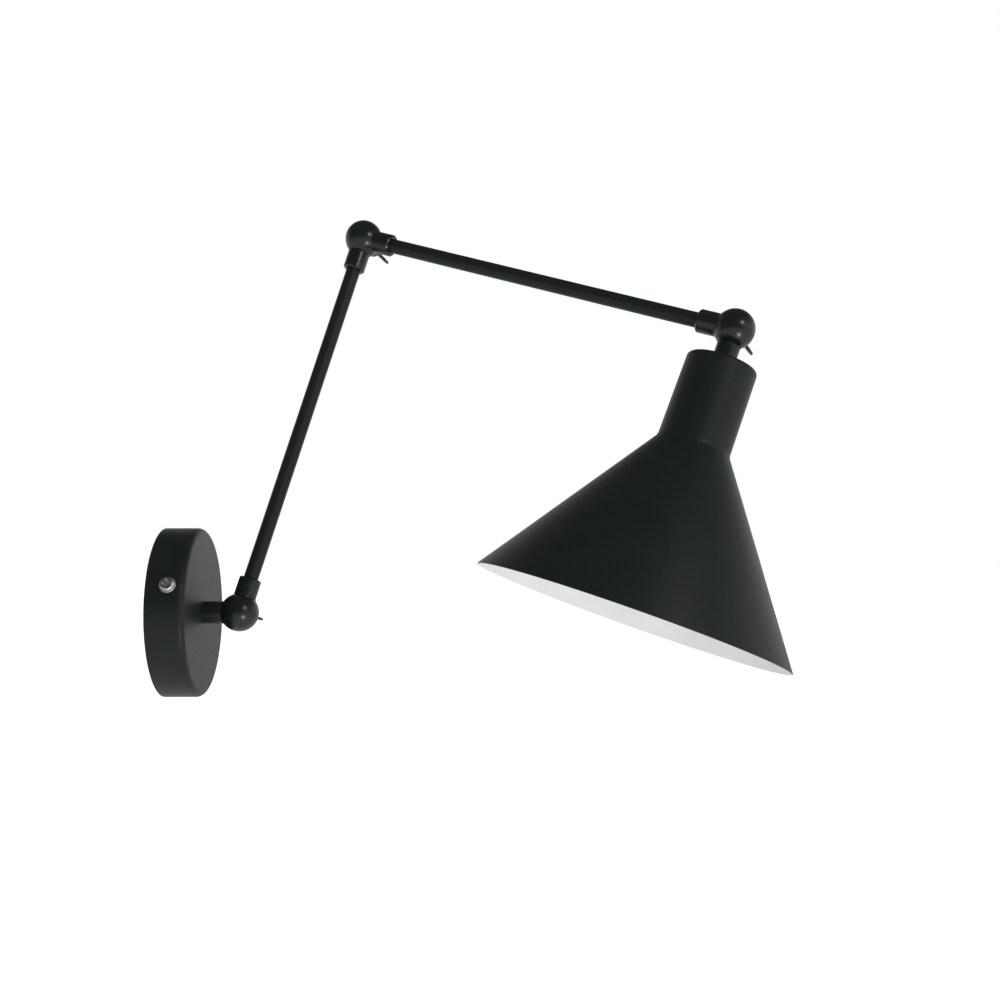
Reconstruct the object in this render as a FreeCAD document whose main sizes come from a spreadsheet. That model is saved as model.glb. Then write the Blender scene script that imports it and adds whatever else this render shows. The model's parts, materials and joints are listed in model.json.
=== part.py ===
"""Accordion wall lamp: a round canopy, three wing-nut knuckles, two tube arms and a cone shade.

Millimetres and degrees.  The origin is the centre of the face that meets the wall, +X points
out of the wall and +Z is up.  The lamp is drawn in the bent position in which it hangs.
"""
import FreeCAD, Part
import math
import os

import Sketcher
from FreeCAD import Placement, Rotation, Vector

doc = FreeCAD.newDocument("accordion_wall_lamp")

# ---------------------------------------------------------------- driving dimensions

SIZES = {
    # canopy, the round cup that covers the junction on the wall
    "canopy_diameter": 100.0,
    "canopy_depth": 22.0,
    "canopy_wall": 1.2,
    "canopy_edge_round": 3.5,
    # bracket that is screwed to the wall inside the canopy
    "strip_width": 22.0,
    "strip_thickness": 1.5,
    "strip_turn": 20.5,
    "tab_height": 17.0,
    "wall_hole_spacing": 60.0,
    "wall_hole_diameter": 4.5,
    "supply_hole_diameter": 12.0,
    "slot_width": 4.2,
    "slot_length": 9.0,
    "slot_place": 38.5,
    # the two side screws that hold the canopy on the bracket
    "side_screw_place": 12.6,
    "side_screw_diameter": 4.0,
    "side_screw_length": 7.0,
    "side_head_diameter": 8.2,
    "side_head_height": 2.4,
    "side_head_round": 1.6,
    "side_washer_diameter": 9.4,
    "side_washer_thickness": 0.8,
    "recess_width": 1.1,
    "recess_length": 4.6,
    "recess_depth": 1.5,
    # terminal block, its sleeves and screws, and the earth point
    "block_place": 9.8,
    "block_length": 14.6,
    "block_width": 21.0,
    "block_height": 11.0,
    "pole_pitch": 7.0,
    "sleeve_height": 4.6,
    "sleeve_diameter": 4.8,
    "sleeve_bore": 3.2,
    "clamp_screw_diameter": 2.6,
    "clamp_screw_length": 5.0,
    "clamp_screw_pitch": 7.4,
    "clamp_screw_lift": 0.6,
    "sleeve_recess": 0.5,
    "screw_slot_width": 0.7,
    "screw_slot_depth": 0.7,
    "barrier_groove": 1.0,
    "fixing_screw_diameter": 2.0,
    "fixing_head_diameter": 3.8,
    "fixing_head_height": 1.2,
    "barrier_depth": 3.0,
    "earth_place": 18.0,
    "earth_screw_diameter": 4.0,
    "earth_head_diameter": 7.6,
    "earth_head_height": 2.2,
    "earth_head_round": 1.2,
    "earth_lug_diameter": 8.6,
    "earth_lug_thickness": 0.8,
    "earth_lug_neck": 3.0,
    "earth_barrel_place": 5.3,
    "earth_barrel_length": 5.0,
    "earth_barrel_wall": 0.4,
    # swivel of the wall stub in the canopy
    "swivel_washer_diameter": 16.0,
    "swivel_washer_thickness": 0.8,
    "stop_washer_diameter": 17.0,
    "stop_tooth_reach": 13.2,
    "stop_tooth_width": 3.0,
    "stop_pin_place": 11.2,
    "stop_pin_diameter": 2.0,
    "stop_pin_overlap": 0.6,
    "stop_pin_flange": 0.6,
    "stop_pin_flange_thickness": 0.4,
    "lock_nut_flats": 14.0,
    "lock_nut_height": 3.0,
    "spigot_diameter": 10.0,
    "wire_bore": 6.8,
    "wall_spigot_reach": 9.5,
    # knuckles, the balls that are split across their pivots
    "ball_diameter": 22.8,
    "ball_wall": 1.7,
    "neck_diameter": 13.2,
    "neck_blend": 2.0,
    "collar_reach": 21.2,
    "collar_chamfer": 0.8,
    "socket_depth": 7.0,
    "boss_diameter": 9.2,
    "split_gap": 0.2,
    "ball_relief": 0.35,
    "friction_disc_thickness": 1.0,
    "stud_diameter": 5.0,
    "stud_blind_depth": 8.4,
    "stud_chamfer": 0.5,
    "seat_height": 10.3,
    "seat_margin": 1.0,
    "nut_washer_diameter": 9.0,
    "nut_washer_thickness": 0.9,
    # wing nuts
    "wing_hub_diameter": 9.0,
    "wing_hub_top_diameter": 7.4,
    "wing_hub_height": 6.0,
    "wing_half_span": 11.2,
    "wing_rise": 11.5,
    "wing_ear_thickness": 2.0,
    "wing_ear_root": 1.2,
    "wing_ear_foot": 0.8,
    "wing_ear_height": 4.6,
    "wing_ear_width": 5.2,
    "wing_ear_round": 2.4,
    "stud_overrun": 0.6,
    "wing_turn_lower": 85.0,
    "wing_turn_elbow": 296.5,
    "wing_turn_shade": 301.0,
    # arms, and the angles at which the lamp hangs
    "arm_length": 244.0,
    "tube_diameter": 8.65,
    "tube_wall": 1.0,
    "stand_off": 42.84,
    "stub_roll": 9.0,
    "lower_fold": 73.4,
    "elbow_fold": 95.0,
    "shade_fold": 89.56,
    "lower_twist": 19.0,
    "upper_twist": 3.17,
    # shade, measured along its axis from the centre of its knuckle
    "shade_top": 19.7,
    "shade_neck_diameter": 39.9,
    "shade_waist_diameter": 41.1,
    "shade_neck_end": 69.2,
    "shade_mouth": 169.4,
    "shade_mouth_diameter": 178.7,
    "shade_wall": 0.8,
    "shade_shoulder_round": 2.6,
    "shade_waist_round": 7.0,
    "shade_spigot_reach": 32.2,
    "shade_washer_diameter": 26.0,
    "shade_washer_thickness": 1.0,
    # lampholder for a large screw cap
    "holder_diameter": 37.6,
    "holder_wall": 1.6,
    "holder_boss_diameter": 16.0,
    "holder_boss_height": 6.0,
    "holder_dome_height": 8.0,
    "holder_skirt_start": 47.2,
    "holder_overlap": 6.0,
    "holder_mouth": 81.2,
    "holder_edge_chamfer": 1.5,
    "holder_bore_chamfer": 0.8,
    "core_top": 50.7,
    "core_thickness": 5.0,
    "core_diameter": 33.0,
    "cap_bore": 26.6,
    "screw_shell_wall": 0.4,
    "screw_shell_length": 22.0,
    "screw_shell_hole": 10.4,
    "screw_shell_foot_diameter": 21.0,
    "screw_shell_taper": 3.2,
    "contact_diameter": 6.4,
    "contact_height": 2.4,
    "contact_chamfer": 1.0,
    "contact_stem_diameter": 3.0,
    "contact_stem_end": 0.8,
    "terminal_size": 5.0,
    "terminal_spread": 8.0,
    "terminal_screw_diameter": 3.0,
    "terminal_screw_length": 3.0,
    "terminal_screw_depth": 2.0,
    # wiring
    "wire_diameter": 2.0,
    "wire_spacing": 2.3,
    "wire_side": 1.35,
    "wire_orbit": 7.0,
    "wire_entry": 1.8,
    "wire_exit": 0.6,
    "wire_run_out": 2.0,
    # clearances
    "thread_gap": 0.02,
    "running_gap": 0.05,
    "fit_gap": 0.15,
    "hole_gap": 0.25,
}

sheet = doc.addObject("Spreadsheet::Sheet", "Sizes")
for row, (word, number) in enumerate(SIZES.items(), start=1):
    sheet.set(f"A{row}", word.replace("_", " "))
    sheet.set(f"B{row}", str(number))
    sheet.setAlias(f"B{row}", word)
doc.recompute()


class Size:
    """A number together with the sheet formula that gives it, so that sums stay bound."""

    def __init__(self, number, formula=None):
        self.number = float(number)
        self.formula = formula or repr(float(number))

    def __add__(self, other):
        other = as_size(other)
        return Size(self.number + other.number, f"({self.formula} + {other.formula})")

    def __sub__(self, other):
        other = as_size(other)
        return Size(self.number - other.number, f"({self.formula} - {other.formula})")

    def __mul__(self, other):
        other = as_size(other)
        return Size(self.number * other.number, f"({self.formula} * {other.formula})")

    def __truediv__(self, other):
        other = as_size(other)
        return Size(self.number / other.number, f"({self.formula} / {other.formula})")

    def __neg__(self):
        return Size(-self.number, f"(-1 * {self.formula})")


def as_size(value):
    """A Size as it is, and a plain number as a Size."""
    return value if isinstance(value, Size) else Size(value)


def root(value):
    """The square root of a Size."""
    return Size(math.sqrt(value.number), f"sqrt({value.formula})")


class Cells:
    """Gives each cell of the sheet as a Size, by its alias."""

    def __getattr__(self, alias):
        return Size(sheet.get(alias), f"Sizes.{alias}")


mm = Cells()

# ---------------------------------------------------------------- helpers for every piece

STRAIGHT = Rotation()
ALONG_X = Rotation(Vector(0, 1, 0), 90)
AGAINST_X = Rotation(Vector(0, 1, 0), -90)
PAST = 1  # how far a cutting shape runs beyond what it cuts
ORIGIN_INDEX = -1  # the sketch's own origin point and horizontal axis
UP_AXIS_INDEX = -2  # the sketch's vertical axis
sub_parts = []


def bind(thing, **sizes):
    """Ties properties of a document object to the sheet."""
    for name, size in sizes.items():
        thing.setExpression(name.replace("_at_", "."), as_size(size).formula)
    return thing


def keep(label, thing, place):
    """Names a finished sub-part and puts it in its place in the lamp."""
    thing.Label = label
    thing.Placement = place
    sub_parts.append(thing)
    return thing


def moved(thing, x, y, z, turn):
    """Puts a primitive at x, y, z, turned first."""
    thing.Placement = Placement(Vector(0, 0, 0), turn)
    return bind(thing, Placement_at_Base_at_x=x, Placement_at_Base_at_y=y, Placement_at_Base_at_z=z)


def cylinder(radius, height, x=0, y=0, z=0, turn=STRAIGHT):
    """A cylinder that starts at x, y, z."""
    thing = doc.addObject("Part::Cylinder", "Cylinder")
    bind(thing, Radius=radius, Height=height)
    return moved(thing, x, y, z, turn)


def cone(low_radius, high_radius, height, x=0, y=0, z=0, turn=STRAIGHT):
    """A cone that starts at x, y, z."""
    thing = doc.addObject("Part::Cone", "Cone")
    bind(thing, Radius1=low_radius, Radius2=high_radius, Height=height)
    return moved(thing, x, y, z, turn)


def ball(radius, low_angle=-90, high_angle=90, z=0):
    """A ball, or the half of one between two latitudes."""
    thing = doc.addObject("Part::Sphere", "Sphere")
    thing.Angle1 = low_angle
    thing.Angle2 = high_angle
    bind(thing, Radius=radius)
    return moved(thing, 0, 0, z, STRAIGHT)


def block(length, width, height, x, y, z):
    """A box centred on y whose lowest corner in x and z is given."""
    thing = doc.addObject("Part::Box", "Box")
    bind(thing, Length=length, Width=width, Height=height)
    return moved(thing, x, as_size(y) - as_size(width) / 2, z, STRAIGHT)


def fused(*things):
    """Several solids as one."""
    thing = doc.addObject("Part::MultiFuse", "Fused")
    thing.Shapes = list(things)
    return thing


def cut(base, *tools):
    """A solid with others taken out of it."""
    thing = doc.addObject("Part::Cut", "Cut")
    thing.Base = base
    thing.Tool = tools[0] if len(tools) == 1 else fused(*tools)
    return thing


def group(*things):
    """Separate solids kept together as one sub-part."""
    thing = doc.addObject("Part::Compound", "Group")
    thing.Links = list(things)
    return thing


def new_sketch(body, plane_role):
    """A sketch on one of the body's own origin planes."""
    sketch = body.newObject("Sketcher::SketchObject", "Outline")
    plane = next(p for p in body.Origin.OriginFeatures if p.Role == plane_role)
    sketch.AttachmentSupport = [(plane, "")]
    sketch.MapMode = "FlatFace"
    return sketch


def hold(sketch, shape, point, x, y):
    """Holds a sketch point at its sheet distances from the sketch's origin."""
    holds = (("DistanceX", as_size(x), UP_AXIS_INDEX), ("DistanceY", as_size(y), ORIGIN_INDEX))
    for kind, size, axis in holds:
        if size.formula == "0.0":
            sketch.addConstraint(Sketcher.Constraint("PointOnObject", shape, point, axis))
            continue
        made = sketch.addConstraint(
            Sketcher.Constraint(kind, ORIGIN_INDEX, 1, shape, point, size.number)
        )
        sketch.setExpression(f"Constraints[{made}]", size.formula)


def draw_outline(sketch, corners):
    """Joins the corners with straight edges and holds each at its sheet place."""
    corners = [(as_size(x), as_size(y)) for x, y in corners]
    spots = [Vector(x.number, y.number, 0) for x, y in corners]
    first = sketch.GeometryCount
    count = len(corners)
    for i in range(count):
        sketch.addGeometry(Part.LineSegment(spots[i], spots[(i + 1) % count]), False)
    for i in range(count):
        following = first + (i + 1) % count
        sketch.addConstraint(Sketcher.Constraint("Coincident", first + i, 2, following, 1))
    for i, (x, y) in enumerate(corners):
        hold(sketch, first + i, 1, x, y)


def draw_circle(sketch, radius, x=0, y=0):
    """A circle whose radius and centre come from the sheet."""
    x, y, radius = as_size(x), as_size(y), as_size(radius)
    middle = Vector(x.number, y.number, 0)
    made = sketch.addGeometry(Part.Circle(middle, Vector(0, 0, 1), radius.number), False)
    size = sketch.addConstraint(Sketcher.Constraint("Radius", made, radius.number))
    sketch.setExpression(f"Constraints[{size}]", radius.formula)
    hold(sketch, made, 3, x, y)


def turned(name, corners):
    """A body turned about its own Z; the corners are (radius, height) pairs."""
    body = doc.addObject("PartDesign::Body", name)
    sketch = new_sketch(body, "XZ_Plane")
    draw_outline(sketch, corners)
    turn = body.newObject("PartDesign::Revolution", "Turn")
    turn.Profile = sketch
    turn.ReferenceAxis = (sketch, ["V_Axis"])
    turn.Angle = 360
    body.Tip = turn
    return body


def ring(name, outer, inner, low, high):
    """A washer, sleeve or tube: a plain ring from one height to another."""
    return turned(name, [(inner, low), (outer, low), (outer, high), (inner, high)])


def padded(name, plane_role, corners, depth):
    """A plate of the given outline, half of its thickness on each side of the plane."""
    body = doc.addObject("PartDesign::Body", name)
    sketch = new_sketch(body, plane_role)
    draw_outline(sketch, corners)
    return pad(body, sketch, depth)


def pad(body, sketch, depth):
    """Adds a sketch to the body as a plate centred on the sketch's plane."""
    feature = body.newObject("PartDesign::Pad", "Plate")
    feature.Profile = sketch
    feature.SideType = "Symmetric"
    bind(feature, Length=depth)
    body.Tip = feature
    return body


def bored(body, plane_role, *circles):
    """Cuts round holes right through the body; each circle is (radius, x, y)."""
    doc.recompute()
    before = body.Shape.Volume
    sketch = new_sketch(body, plane_role)
    for radius, x, y in circles:
        draw_circle(sketch, radius, x, y)
    return pocketed(body, sketch, before)


def pocketed(body, sketch, before):
    """Cuts a sketch through the body, both ways, and checks that it took something away."""
    feature = body.newObject("PartDesign::Pocket", "Opening")
    feature.Profile = sketch
    feature.Type = "ThroughAll"
    feature.SideType = "Symmetric"
    body.Tip = feature
    doc.recompute()
    if body.Shape.Volume > before - 0.01:
        raise RuntimeError(f"{body.Label}: the opening cut nothing")
    return body


def rounded(body, radius, *rings):
    """Rounds the circular edges of the body that lie at the given (radius, height) rings."""
    doc.recompute()
    tip = body.Tip
    names = [
        f"Edge{number}"
        for number, edge in enumerate(tip.Shape.Edges, start=1)
        if any(on_ring(edge, as_size(r).number, as_size(h).number) for r, h in rings)
    ]
    return add_fillet(body, tip, names, radius)


def add_fillet(body, tip, names, radius):
    """Adds a fillet of the named edges to the body."""
    feature = body.newObject("PartDesign::Fillet", "Round")
    feature.Base = (tip, names)
    bind(feature, Radius=radius)
    body.Tip = feature
    return body


def on_ring(edge, radius, height):
    """Whether an edge is a circle about Z with this radius at this height."""
    if edge.Degenerated or not isinstance(edge.Curve, Part.Circle):
        return False
    curve = edge.Curve
    on_axis = math.hypot(curve.Center.x, curve.Center.y) < 0.001
    return on_axis and abs(curve.Radius - radius) < 0.001 and abs(curve.Center.z - height) < 0.001


def hex_nut(across_flats, bore_radius, low, height):
    """A hexagonal nut."""
    prism = doc.addObject("Part::Prism", "Hexagon")
    prism.Polygon = 6
    bind(prism, Circumradius=across_flats / root(as_size(3)), Height=height)
    moved(prism, 0, 0, low, STRAIGHT)
    return cut(prism, cylinder(bore_radius, height + 2 * PAST, z=low - PAST))


def crossed(head, top):
    """Cuts a cross recess into a screw head on the Z axis, whose top is at the given height."""
    floor = top - mm.recess_depth
    depth = mm.recess_depth + PAST
    length = mm.recess_length
    width = mm.recess_width
    return cut(
        head,
        block(length, width, depth, -length / 2, 0, floor),
        block(width, length, depth, -width / 2, 0, floor),
    )


def slotted(screw, diameter, x, y, top):
    """Cuts a straight slot into an upright screw whose top is at the given height."""
    length = diameter + 2 * PAST
    depth = mm.screw_slot_depth
    return cut(screw, block(length, mm.screw_slot_width, depth + PAST, x - length / 2, y, top - depth))


def frame(origin, x_way, z_way):
    """A place whose local X and Z point the given ways."""
    return Placement(origin, Rotation(x_way, z_way.cross(x_way), z_way, "ZXY"))


# ---------------------------------------------------------------- how the lamp hangs

OUT = Vector(1, 0, 0)
NEAR = Vector(0, -1, 0)


def turn_about(way, degrees):
    """A turn about a direction."""
    return Rotation(way, degrees)


stub_turn = turn_about(OUT, -mm.stub_roll.number)
near_lower = stub_turn.multVec(NEAR)
far_lower = -near_lower
lower_way = turn_about(near_lower, mm.lower_fold.number).multVec(OUT)
far_elbow = turn_about(lower_way, -mm.lower_twist.number).multVec(far_lower)
upper_way = turn_about(far_elbow, mm.elbow_fold.number).multVec(lower_way)
far_shade = turn_about(upper_way, mm.upper_twist.number).multVec(far_elbow)
shade_way = turn_about(far_shade, mm.shade_fold.number).multVec(upper_way)

lower_centre = OUT * mm.stand_off.number
elbow_centre = lower_centre + lower_way * mm.arm_length.number
shade_centre = elbow_centre + upper_way * mm.arm_length.number

strip_way = turn_about(OUT, -mm.strip_turn.number).multVec(NEAR)
wall = frame(Vector(0, 0, 0), strip_way, OUT)
swivel = frame(Vector(0, 0, 0), near_lower, OUT)
lower_arm = frame(lower_centre, near_lower, lower_way)
upper_arm = frame(elbow_centre, far_elbow, upper_way)
shade_axis = frame(shade_centre, far_shade, shade_way)

# Each half of a knuckle has its neck along local X, and local Z points to the wing nut.
stub_half = frame(lower_centre, -OUT, far_lower)
lower_start = frame(lower_centre, lower_way, far_lower)
lower_end = frame(elbow_centre, -lower_way, far_elbow)
upper_start = frame(elbow_centre, upper_way, far_elbow)
upper_end = frame(shade_centre, -upper_way, far_shade)
shade_half = frame(shade_centre, shade_way, far_shade)

# ---------------------------------------------------------------- wall end


def make_canopy():
    """The cup: a turned shell with a hole for the stub and one for each side screw."""
    outer = mm.canopy_diameter / 2
    inner = outer - mm.canopy_wall
    ceiling = mm.canopy_depth - mm.canopy_wall
    hole = mm.spigot_diameter / 2 + mm.running_gap
    body = turned(
        "canopy",
        [
            (hole, mm.canopy_depth),
            (hole, ceiling),
            (inner, ceiling),
            (inner, 0),
            (outer, 0),
            (outer, mm.canopy_depth),
        ],
    )
    rounded(body, mm.canopy_edge_round, (outer, mm.canopy_depth))
    rounded(body, mm.canopy_edge_round - mm.canopy_wall, (inner, ceiling))
    side_hole = mm.side_screw_diameter / 2 + mm.hole_gap
    bored(body, "YZ_Plane", (side_hole, 0, mm.side_screw_place))
    keep("canopy", body, wall)


def tab_face():
    """How far from the centre a tab's outer face lies, just clear of the canopy's wall."""
    inner = mm.canopy_diameter / 2 - mm.canopy_wall
    half = mm.strip_width / 2
    return root(inner * inner - half * half) - mm.fit_gap


def make_bracket():
    """The strip: a U of sheet steel with holes for the wall, the supply and the side screws."""
    face = tab_face()
    skin = mm.strip_thickness
    corners = [
        (-face, 0),
        (face, 0),
        (face, mm.tab_height),
        (face - skin, mm.tab_height),
        (face - skin, skin),
        (skin - face, skin),
        (skin - face, mm.tab_height),
        (-face, mm.tab_height),
    ]
    body = padded("mounting_bracket", "XZ_Plane", corners, mm.strip_width)
    half_spacing = mm.wall_hole_spacing / 2
    wall_hole = mm.wall_hole_diameter / 2
    bored(
        body,
        "XY_Plane",
        (mm.supply_hole_diameter / 2, 0, 0),
        (wall_hole, half_spacing, 0),
        (wall_hole, -half_spacing, 0),
        (mm.earth_screw_diameter / 2 + mm.thread_gap, -mm.earth_place, 0),
        (mm.fixing_screw_diameter / 2 + mm.thread_gap, block_middle(), mm.pole_pitch / 2),
    )
    bored(body, "YZ_Plane", (mm.side_screw_diameter / 2 + mm.thread_gap, 0, mm.side_screw_place))
    sketch = new_sketch(body, "XY_Plane")
    for side in (1, -1):
        middle = mm.slot_place * side
        low = -mm.slot_length / 2
        high = mm.slot_length / 2
        half = mm.slot_width / 2
        edges = [(middle - half, low), (middle + half, low), (middle + half, high), (middle - half, high)]
        draw_outline(sketch, edges)
    pocketed(body, sketch, body.Shape.Volume)
    keep("mounting_bracket", body, wall)


def make_side_screws():
    """A pan-head screw and a washer on each side of the canopy's rim."""
    rim = mm.canopy_diameter / 2
    seat = rim + mm.side_washer_thickness
    screws = []
    washers = []
    for side in ("near", "far"):
        shank = mm.side_screw_diameter / 2
        head = mm.side_head_diameter / 2
        top = seat + mm.side_head_height
        screw = turned(
            f"side_screw_{side}",
            [
                (0, seat - mm.side_screw_length),
                (shank, seat - mm.side_screw_length),
                (shank, seat),
                (head, seat),
                (head, top),
                (0, top),
            ],
        )
        rounded(screw, mm.side_head_round, (head, top))
        screws.append(crossed(screw, top))
        hole = shank + mm.hole_gap
        washers.append(ring(f"side_washer_{side}", mm.side_washer_diameter / 2, hole, rim, seat))
    for pair in (screws, washers):
        for piece, turn in zip(pair, (ALONG_X, AGAINST_X)):
            piece.Placement = Placement(Vector(0, 0, 0), turn)
            bind(piece, Placement_at_Base_at_z=mm.side_screw_place)
    keep("canopy_screws", group(*screws), wall)
    keep("canopy_screw_washers", group(*washers), wall)


def block_middle():
    """Where the middle of the terminal block lies along the strip."""
    return mm.block_place + mm.block_length / 2


def pole_places():
    """The three poles of the terminal block, across the strip."""
    return [mm.pole_pitch * step for step in (-1, 0, 1)]


def sleeve_level():
    """The height of the terminal sleeves above the wall."""
    return mm.strip_thickness + mm.sleeve_height


def clamp_places():
    """The two clamp screws of each pole, along the strip."""
    return [block_middle() + mm.clamp_screw_pitch * step for step in (-0.5, 0.5)]


def screw_foot():
    """The foot of the terminal block's clamp screws, just above the wires they press on."""
    return sleeve_level() + mm.clamp_screw_lift


def make_terminal_block():
    """The three-pole block of moulded plastic and the screw that fixes it on the strip."""
    skin = mm.strip_thickness
    top = skin + mm.block_height
    length = mm.block_length + 2 * PAST
    start = mm.block_place - PAST
    clamp_hole = mm.clamp_screw_diameter / 2 + mm.fit_gap
    groove_floor = top - mm.barrier_depth
    openings = []
    for y in pole_places():
        bore = mm.sleeve_diameter / 2 + mm.thread_gap
        openings.append(cylinder(bore, length, start, y, sleeve_level(), ALONG_X))
        for x in clamp_places():
            openings.append(cylinder(clamp_hole, mm.block_height, x, y, sleeve_level()))
    for side in (-0.5, 0.5):
        y = mm.pole_pitch * side
        openings.append(block(length, mm.barrier_groove, mm.block_height, start, y, groove_floor))
    x = block_middle()
    y = mm.pole_pitch / 2
    shank = mm.fixing_screw_diameter / 2
    head = mm.fixing_head_diameter / 2
    openings.append(cylinder(shank + mm.fit_gap, mm.block_height, x, y, skin - PAST))
    openings.append(cylinder(head + mm.fit_gap, mm.block_height, x, y, groove_floor))
    body = block(mm.block_length, mm.block_width, mm.block_height, mm.block_place, 0, skin)
    keep("terminal_block", cut(body, *openings), wall)
    fixing = fused(
        cylinder(shank, groove_floor, x, y),
        cylinder(head, mm.fixing_head_height, x, y, groove_floor),
    )
    fixing_top = groove_floor + mm.fixing_head_height
    keep("terminal_block_screw", slotted(fixing, mm.fixing_head_diameter, x, y, fixing_top), wall)


def make_terminals():
    """The brass sleeves inside the block and the two clamp screws of each."""
    length = mm.block_length - mm.sleeve_recess * 2
    start = mm.block_place + mm.sleeve_recess
    radius = mm.clamp_screw_diameter / 2
    level = sleeve_level()
    sleeves = []
    screws = []
    for y in pole_places():
        tube = cylinder(mm.sleeve_diameter / 2, length, start, y, level, ALONG_X)
        taken = [cylinder(mm.sleeve_bore / 2, length + 2 * PAST, start - PAST, y, level, ALONG_X)]
        for x in clamp_places():
            taken.append(cylinder(radius + mm.thread_gap, mm.sleeve_diameter, x, y, level))
            shank = cylinder(radius, mm.clamp_screw_length, x, y, screw_foot())
            screws.append(slotted(shank, mm.clamp_screw_diameter, x, y, screw_foot() + mm.clamp_screw_length))
        sleeves.append(cut(tube, *taken))
    keep("terminal_sleeves", group(*sleeves), wall)
    keep("terminal_screws", group(*screws), wall)


def earth_barrel_radius():
    """The barrel of the earth lug, crimped over the insulation of the wire."""
    return mm.wire_diameter / 2 + mm.earth_barrel_wall


def earth_level():
    """The height of the earth lug's barrel above the wall."""
    return mm.strip_thickness + earth_barrel_radius()


def make_earth_point():
    """The earth screw in the strip, over the ring lug of the earth wire."""
    skin = mm.strip_thickness
    lug_top = skin + mm.earth_lug_thickness
    shank = mm.earth_screw_diameter / 2
    head = mm.earth_head_diameter / 2
    top = lug_top + mm.earth_head_height
    screw = turned(
        "earth_screw_blank",
        [
            (0, 0),
            (shank, 0),
            (shank, lug_top),
            (head, lug_top),
            (head, top),
            (0, top),
        ],
    )
    rounded(screw, mm.earth_head_round, (head, top))
    spot = Placement(Vector(-mm.earth_place.number, 0, 0), STRAIGHT)
    keep("earth_screw", crossed(screw, top), wall.multiply(spot))
    middle = -mm.earth_place
    eye = cylinder(mm.earth_lug_diameter / 2, mm.earth_lug_thickness, middle, 0, skin)
    neck_end = mm.earth_barrel_place + mm.earth_barrel_length / 2
    neck = block(neck_end, mm.earth_lug_neck, mm.earth_lug_thickness, middle, 0, skin)
    start = middle + mm.earth_barrel_place
    barrel = cylinder(earth_barrel_radius(), mm.earth_barrel_length, start, 0, earth_level(), ALONG_X)
    hole = cylinder(shank + mm.hole_gap, lug_top, middle, 0, skin - PAST)
    keep("earth_lug", cut(fused(eye, neck, barrel), hole), wall)


def make_swivel():
    """Washers, the stop washer, its pin and the nut that let the stub turn in the canopy."""
    ceiling = mm.canopy_depth - mm.canopy_wall
    bore = mm.spigot_diameter / 2 + mm.thread_gap
    thickness = mm.swivel_washer_thickness
    outside = ring("washer", mm.neck_diameter / 2, bore, mm.canopy_depth, mm.canopy_depth + thickness)
    keep("swivel_washer_outer", outside, swivel)
    first = ceiling - thickness
    inside = ring("washer", mm.swivel_washer_diameter / 2, bore, first, ceiling)
    keep("swivel_washer_inner", inside, swivel)
    second = first - thickness
    disc = cylinder(mm.stop_washer_diameter / 2, thickness, z=second)
    tooth = block(mm.stop_tooth_reach, mm.stop_tooth_width, thickness, 0, 0, second)
    hole = cylinder(bore, thickness + 2 * PAST, z=second - PAST)
    keep("swivel_stop_washer", cut(fused(disc, tooth), hole), swivel)
    nut = hex_nut(mm.lock_nut_flats, bore, second - mm.lock_nut_height, mm.lock_nut_height)
    keep("stub_lock_nut", nut, swivel)
    pin_low = second - mm.stop_pin_overlap
    radius = mm.stop_pin_diameter / 2
    pin = cylinder(radius, ceiling - pin_low, -mm.stop_pin_place, 0, pin_low)
    skin = mm.stop_pin_flange_thickness
    flange = cylinder(radius + mm.stop_pin_flange, skin, -mm.stop_pin_place, 0, ceiling - skin)
    keep("swivel_stop_pin", fused(pin, flange), swivel)


# ---------------------------------------------------------------- knuckles

NEAR_SIGN = -1
FAR_SIGN = 1


def half_ball(radius, side, z=0):
    """The half of a ball on one side of the plane at height z."""
    return ball(radius, -90, 0, z) if side == NEAR_SIGN else ball(radius, 0, 90, z)


def upright(radius, side, low, high):
    """A cylinder about the pivot between two distances from the split, on one side of it."""
    low = as_size(low)
    high = as_size(high)
    start = low if side == FAR_SIGN else -high
    return cylinder(radius, high - low, z=start)


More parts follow.
